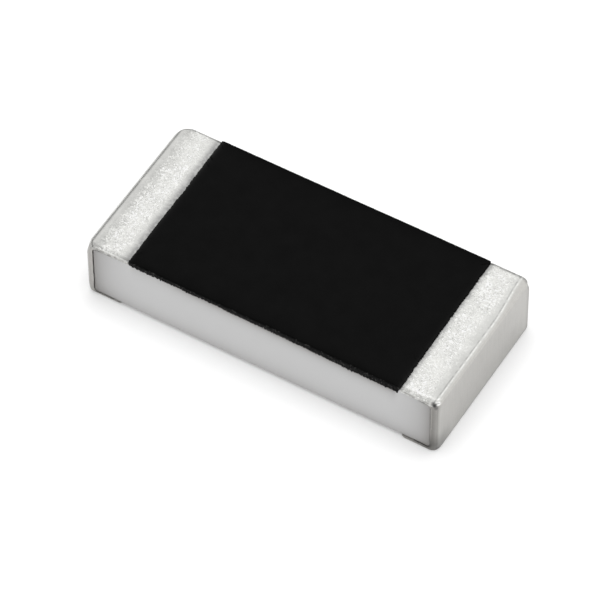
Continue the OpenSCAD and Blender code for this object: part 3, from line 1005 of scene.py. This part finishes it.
class CHIP_OT_layers(bpy.types.Operator):
    """Make the layers under the tin and finish the other layers inside the chip"""
    bl_idname = "chip.layers"
    bl_label = "Inner Layers"

    def execute(self, context):
        finish = context.scene.chip_finish
        shape = context.scene.chip_shape
        silver = layer_material("silver print", finish.silver, 1.0, 90.0)
        paste = layer_material("silver paste", finish.paste, 0.9, 60.0)
        nickel = layer_material("nickel barrier", finish.nickel, 1.0, 120.0)
        coats = {"resistive_film": layer_material("resistive film", finish.film, 0.0, 50.0),
                 "glass_coat": layer_material("glass coat", finish.glass, 0.0, 20.0)}
        planes = (Layers.tin, Layers.over_nickel, Layers.end_metal)
        shells = (("nickel_barrier_", "nickel_layer_", "nickel", nickel, planes[:2]),
                  ("end_electrode_", "paste_layer_", "end_paste", paste, planes[1:]))
        for end in ENDS:
            coats.update({"top_electrode_" + end: silver, "bottom_electrode_" + end: silver})
            for node, name, slot, material, (top, base) in shells:
                rows = shell_rows(shape, end_values(context.scene, end), end,
                                  top + 1.5 * shape.layer_gap, base + 0.5 * shape.layer_gap)
                piece = closed_surface(name + end, rows, material)
                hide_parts(node + end)
        for node, material in coats.items():
            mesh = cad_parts[node].data
            mesh.materials.clear()
            mesh.materials.append(material)
        return {"FINISHED"}


def way_from(azimuth, elevation):
    """The unit vector from the chip towards a turn and a height, as a camera there sees it."""
    return Vector((math.sin(azimuth) * math.cos(elevation), -math.cos(azimuth) * math.cos(elevation),
                   math.sin(elevation)))


class CHIP_OT_stage(bpy.types.Operator):
    """Set the floor, the soft light, the sky and the camera"""
    bl_idname = "chip.stage"
    bl_label = "Stage"

    def execute(self, context):
        stage = context.scene.chip_stage
        self.floor(stage)
        self.light(stage)
        self.sky(context.scene, stage)
        self.camera(context.scene, stage)
        context.scene.view_settings.view_transform = "Standard"
        return {"FINISHED"}

    def floor(self, stage):
        """A matte floor that looks nearly white to the camera and in reflections."""
        half = stage.floor_size / 2
        corners = np.array([(-half, -half), (half, -half), (half, half), (-half, half)])
        points = np.concatenate((corners, np.full((4, 1), -0.2 * MICRON)), 1)
        mesh = bpy.data.meshes.new("floor")
        mesh.from_pydata(points.tolist(), [], [(0, 1, 2, 3)])
        material, paint = new_material("pale floor")
        grey, white = ([level] * 3 for level in (stage.floor_albedo, stage.floor_white))
        seen = [paint.node("ShaderNodeLightPath", output=ray) for ray in
                ("Is Camera Ray", "Is Glossy Ray", "Is Transmission Ray")]
        seen = paint.math("MINIMUM", seen[0] + seen[1] + seen[2], 1.0)
        matte = paint.node("ShaderNodeBsdfDiffuse", inputs={"Color": paint.mix(seen, grey, white)})
        tint = paint.scaled(WHITE, seen * stage.floor_glow)
        glow = paint.node("ShaderNodeEmission", inputs={"Color": tint})
        both = paint.node("ShaderNodeAddShader", inputs={0: matte, 1: glow})
        paint.node("ShaderNodeOutputMaterial", inputs={"Surface": both})
        mesh.materials.append(material)
        floor = bpy.data.objects.new("floor", mesh)
        bpy.context.scene.collection.objects.link(floor)

    def light(self, stage):
        """The softbox lights the matte faces; the metal reflects the even sky alone."""
        lamp = bpy.data.lights.new("key softbox", "AREA")
        lamp.shape = "SQUARE"
        lamp.size = stage.key_size
        lamp.energy = stage.key_level * math.pi * stage.key_size ** 2
        softbox = bpy.data.objects.new("key softbox", lamp)
        way = way_from(stage.key_azimuth, stage.key_elevation)
        softbox.location = way * stage.key_distance
        softbox.rotation_euler = way.to_track_quat("Z", "Y").to_euler()
        softbox.visible_glossy = False
        bpy.context.scene.collection.objects.link(softbox)

    def sky(self, scene, stage):
        """White for the camera; for the chip, a sky that brightens upwards and has three soft panels."""
        world = bpy.data.worlds.new("studio")
        world.use_nodes = True
        paint = Paint(world.node_tree)
        way = paint.node("ShaderNodeTexCoord", output="Generated")
        height = paint.part(way, 2)
        level = height.ramp(stage.horizon_top, stage.sky_bottom) * (stage.sky_level - stage.horizon_level)
        leaning = paint.along(way, way_from(stage.key_azimuth, 0.0))
        level = (level + stage.horizon_level) * (1.0 + leaning * stage.sky_lean)
        for key, (*_, edge) in PANELS.items():
            azimuth, elevation, added = (getattr(stage, key + part) for part in
                                         ("_azimuth", "_elevation", "_level"))
            level = level + paint.along(way, way_from(azimuth, elevation)).ramp(*edge) * added
        camera = paint.node("ShaderNodeLightPath", output="Is Camera Ray")
        strength = camera + (1.0 - camera) * level
        glow = paint.node("ShaderNodeBackground", inputs={"Color": paint.scaled(WHITE, strength)})
        paint.node("ShaderNodeOutputWorld", inputs={"Surface": glow})
        scene.world = world

    def camera(self, scene, stage):
        """A long lens aimed beside the chip's middle, rolled about its own axis."""
        back = way_from(stage.azimuth, stage.elevation)
        level = Vector((math.cos(stage.azimuth), math.sin(stage.azimuth), 0.0))
        upright = back.cross(level)
        right = level * math.cos(stage.roll) + upright * math.sin(stage.roll)
        up = upright * math.cos(stage.roll) - level * math.sin(stage.roll)
        middle = Vector((0.0, 0.0, stage.aim_height))
        lens = bpy.data.cameras.new("camera")
        lens.lens = stage.lens
        lens.sensor_width = 36.0
        lens.clip_start = 1.0 * MILLIMETRE
        lens.clip_end = 10.0
        camera = bpy.data.objects.new("camera", lens)
        camera.location = middle + right * stage.aim_right + up * stage.aim_up + back * stage.distance
        camera.rotation_euler = Matrix((right, up, back)).transposed().to_euler()
        scene.collection.objects.link(camera)
        scene.camera = camera


class CHIP_PT_panel(bpy.types.Panel):
    """Lists the chip's pieces and its sizes"""
    bl_idname = "CHIP_PT_panel"
    bl_label = "Chip Resistor"
    bl_space_type = "VIEW_3D"
    bl_region_type = "UI"
    bl_category = "Chip"

    def draw(self, context):
        for operator in OPERATORS:
            self.layout.operator(operator.bl_idname)
        for key in GROUPS:
            group = getattr(context.scene, key)
            box = self.layout.box()
            for name in group.__annotations__:
                box.prop(group, name)


GROUPS = {"chip_shape": ChipShape, "chip_ends": ChipEnds, "chip_finish": ChipFinish, "chip_stage": ChipStage}
OPERATORS = (CHIP_OT_ceramic, CHIP_OT_coat, CHIP_OT_ends, CHIP_OT_layers, CHIP_OT_stage)


def register():
    """Adds the property groups, the operators and the panel."""
    for group in GROUPS.values():
        bpy.utils.register_class(group)
    for name, group in GROUPS.items():
        setattr(bpy.types.Scene, name, PointerProperty(type=group))
    for operator in OPERATORS:
        bpy.utils.register_class(operator)
    bpy.utils.register_class(CHIP_PT_panel)


def unregister():
    """Takes them away again."""
    bpy.utils.unregister_class(CHIP_PT_panel)
    for operator in reversed(OPERATORS):
        bpy.utils.unregister_class(operator)
    for name, group in GROUPS.items():
        delattr(bpy.types.Scene, name)
        bpy.utils.unregister_class(group)


def main():
    """Makes every piece and the stage."""
    register()
    bpy.ops.chip.ceramic()
    bpy.ops.chip.coat()
    bpy.ops.chip.ends()
    bpy.ops.chip.layers()
    bpy.ops.chip.stage()


if __name__ == "__main__":
    main()
